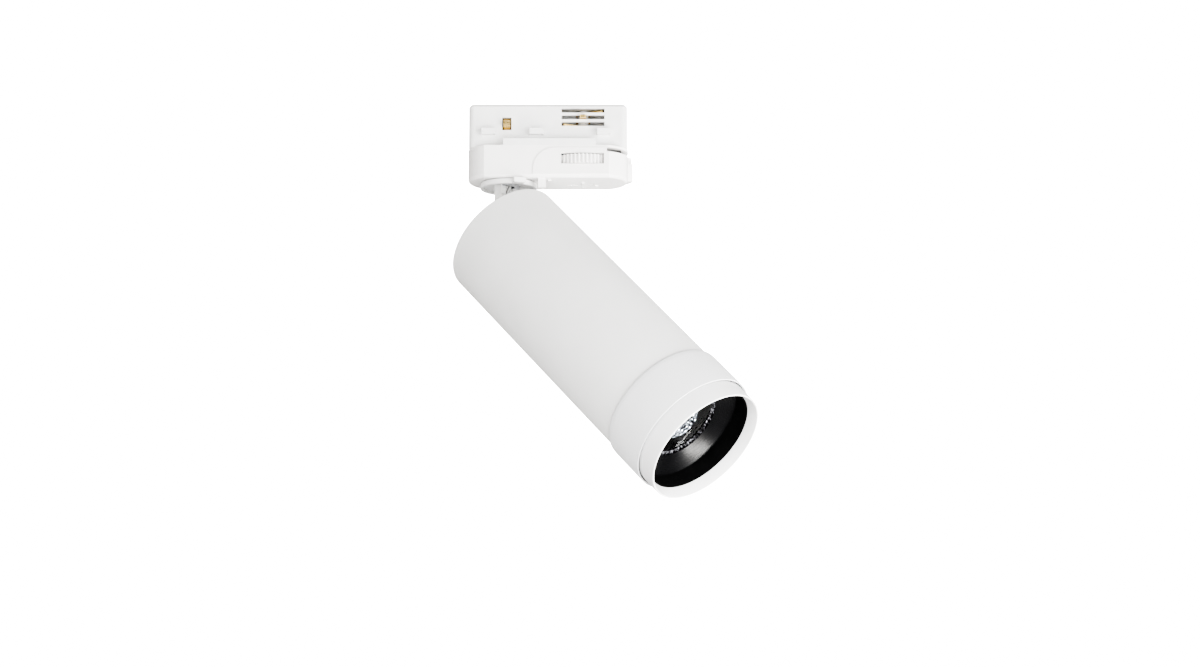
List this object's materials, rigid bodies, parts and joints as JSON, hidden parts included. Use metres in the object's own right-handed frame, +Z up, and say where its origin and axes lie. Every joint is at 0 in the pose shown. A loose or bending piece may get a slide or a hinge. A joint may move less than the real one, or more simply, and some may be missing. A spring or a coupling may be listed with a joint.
{
  "type": "track spotlight",
  "caption": "Cylindrical zoom spotlight on a tilting and turning arm under a lighting-track adapter with a phase thumbwheel and a locking lever.",
  "frame": {"origin": "Middle of the face that seats against the underside of the track, centred along and across the adapter", "axes": "+Z up into the track, +X along the track towards the locking lever's end, -Y the side with the raised thumbwheel panel seen from the front. Rest is the pose pictured: the lamp turned 36.2 degrees from +X towards -Y and tilted 43.5 degrees below horizontal, zoom extended, lever locked."},
  "size_m": [0.1288, 0.1111, 0.1784],
  "materials": {
    "white_plastic": "satin moulded polycarbonate",
    "insert_plastic": "moulded polyamide",
    "zinc_steel": "zinc plated steel",
    "contact_brass": "stamped spring brass",
    "terminal_nylon": "natural nylon",
    "live_insulation": "brown insulation",
    "neutral_insulation": "blue insulation",
    "earth_insulation": "green and yellow insulation",
    "lead_sheath": "silicone sheath",
    "white_paint": "fine-textured white powder coat on aluminium",
    "collar_paint": "fine-textured white powder coat on turned aluminium",
    "ring_paint": "smooth satin white paint on turned aluminium",
    "washer_fibre": "acetal friction washer",
    "circuit_board": "green solder mask",
    "ferrite": "sintered ferrite",
    "winding_tape": "yellow polyester tape",
    "capacitor_sleeve": "plain heat-shrink sleeve",
    "raw_aluminium": "bare extruded aluminium",
    "board_white": "white solder mask",
    "phosphor": "yellow phosphor under silicone",
    "black_plastic": "black polycarbonate",
    "optic_acrylic": "clear moulded optic with a faceted front",
    "black_anodised": "glossy black anodised",
    "black_matte": "matte black paint",
    "lens_glass": "clear polished lens",
    "retainer_plastic": "toothed snap-in retaining ring"
  },
  "bodies": {
    "adapter": {"housing_front": "white_plastic", "housing_rear": "white_plastic", "housing_screws": "zinc_steel", "track_insert": "insert_plastic", "insert_screws": "zinc_steel", "neutral_contact": "contact_brass", "earth_contacts": "contact_brass", "phase_wiper": "contact_brass", "terminal_block": "terminal_nylon", "live_lead": "live_insulation", "neutral_lead": "neutral_insulation", "earth_lead": "earth_insulation"},
    "locking_lever": {"locking_lever": "white_plastic", "lock_lug": "zinc_steel"},
    "phase_selector": {"selector_wheel": "white_plastic", "phase_rotor": "insert_plastic", "rotor_clip": "zinc_steel", "phase_contacts": "contact_brass"},
    "swivel": {"swivel_disc": "white_paint", "pivot_nipple": "zinc_steel", "nipple_washer": "zinc_steel", "nipple_nut": "zinc_steel", "tilt_arm": "white_paint", "arm_cover": "white_plastic", "arm_screws": "zinc_steel", "arm_leads": "lead_sheath"},
    "head": {"body_tube": "white_paint", "back_cap": "white_paint", "cap_screws": "zinc_steel", "standoffs": "zinc_steel", "tilt_screw": "zinc_steel", "tilt_nut": "zinc_steel", "friction_washers": "washer_fibre", "driver_bracket": "zinc_steel", "driver_board": "circuit_board", "transformer_core": "ferrite", "transformer_winding": "winding_tape", "driver_capacitors": "capacitor_sleeve", "driver_inductor": "ferrite", "input_socket": "terminal_nylon", "head_leads": "lead_sheath", "heat_sink": "raw_aluminium", "led_leads": "lead_sheath", "led_board": "board_white", "led_emitter": "phosphor", "led_holder": "terminal_nylon", "holder_screws": "zinc_steel", "optic_holder": "black_plastic", "primary_optic": "optic_acrylic", "inner_cone": "black_anodised", "guide_sleeve": "black_anodised", "sleeve_screws": "zinc_steel", "snap_ring": "zinc_steel"},
    "focus_collar": {"focus_collar": "collar_paint"},
    "zoom_carriage": {"front_ring": "ring_paint", "baffle_sleeve": "black_matte", "baffle_cone": "black_anodised", "zoom_lens": "lens_glass", "lens_retainer": "retainer_plastic", "guide_pins": "zinc_steel"}
  },
  "joints": [
    {"name": "pan", "type": "hinge", "parent": "adapter", "child": "swivel", "pos_m": [-0.01736, 0, -0.0195], "axis": [0, 0, 1], "range_deg": [-305, 24]},
    {"name": "tilt", "type": "hinge", "parent": "swivel", "child": "head", "pos_m": [-0.01849, 0.00083, -0.0431], "axis": [-0.5906, -0.807, 0], "range_deg": [-46.5, 2]},
    {"name": "collar_turn", "type": "hinge", "parent": "head", "child": "focus_collar", "pos_m": [0.05493, -0.05291, -0.12944], "axis": [0.5853, -0.4284, -0.6884], "range_deg": [0, 100]},
    {"name": "zoom_slide", "type": "slide", "parent": "head", "child": "zoom_carriage", "axis": [0.5853, -0.4284, -0.6884], "range_m": [-0.005, 0]},
    {"name": "phase_select", "type": "hinge", "parent": "adapter", "child": "phase_selector", "pos_m": [0.0153, 0, 0], "axis": [0, 0, 1], "range_deg": [-60, 60]},
    {"name": "track_lock", "type": "hinge", "parent": "adapter", "child": "locking_lever", "pos_m": [0.02191, 0, 0], "axis": [0, 0, 1], "range_deg": [-90, 0]}
  ],
  "couplings": [
    {"joint": "zoom_slide", "follows": "collar_turn", "m_per_rad": -0.0028647}
  ]
}
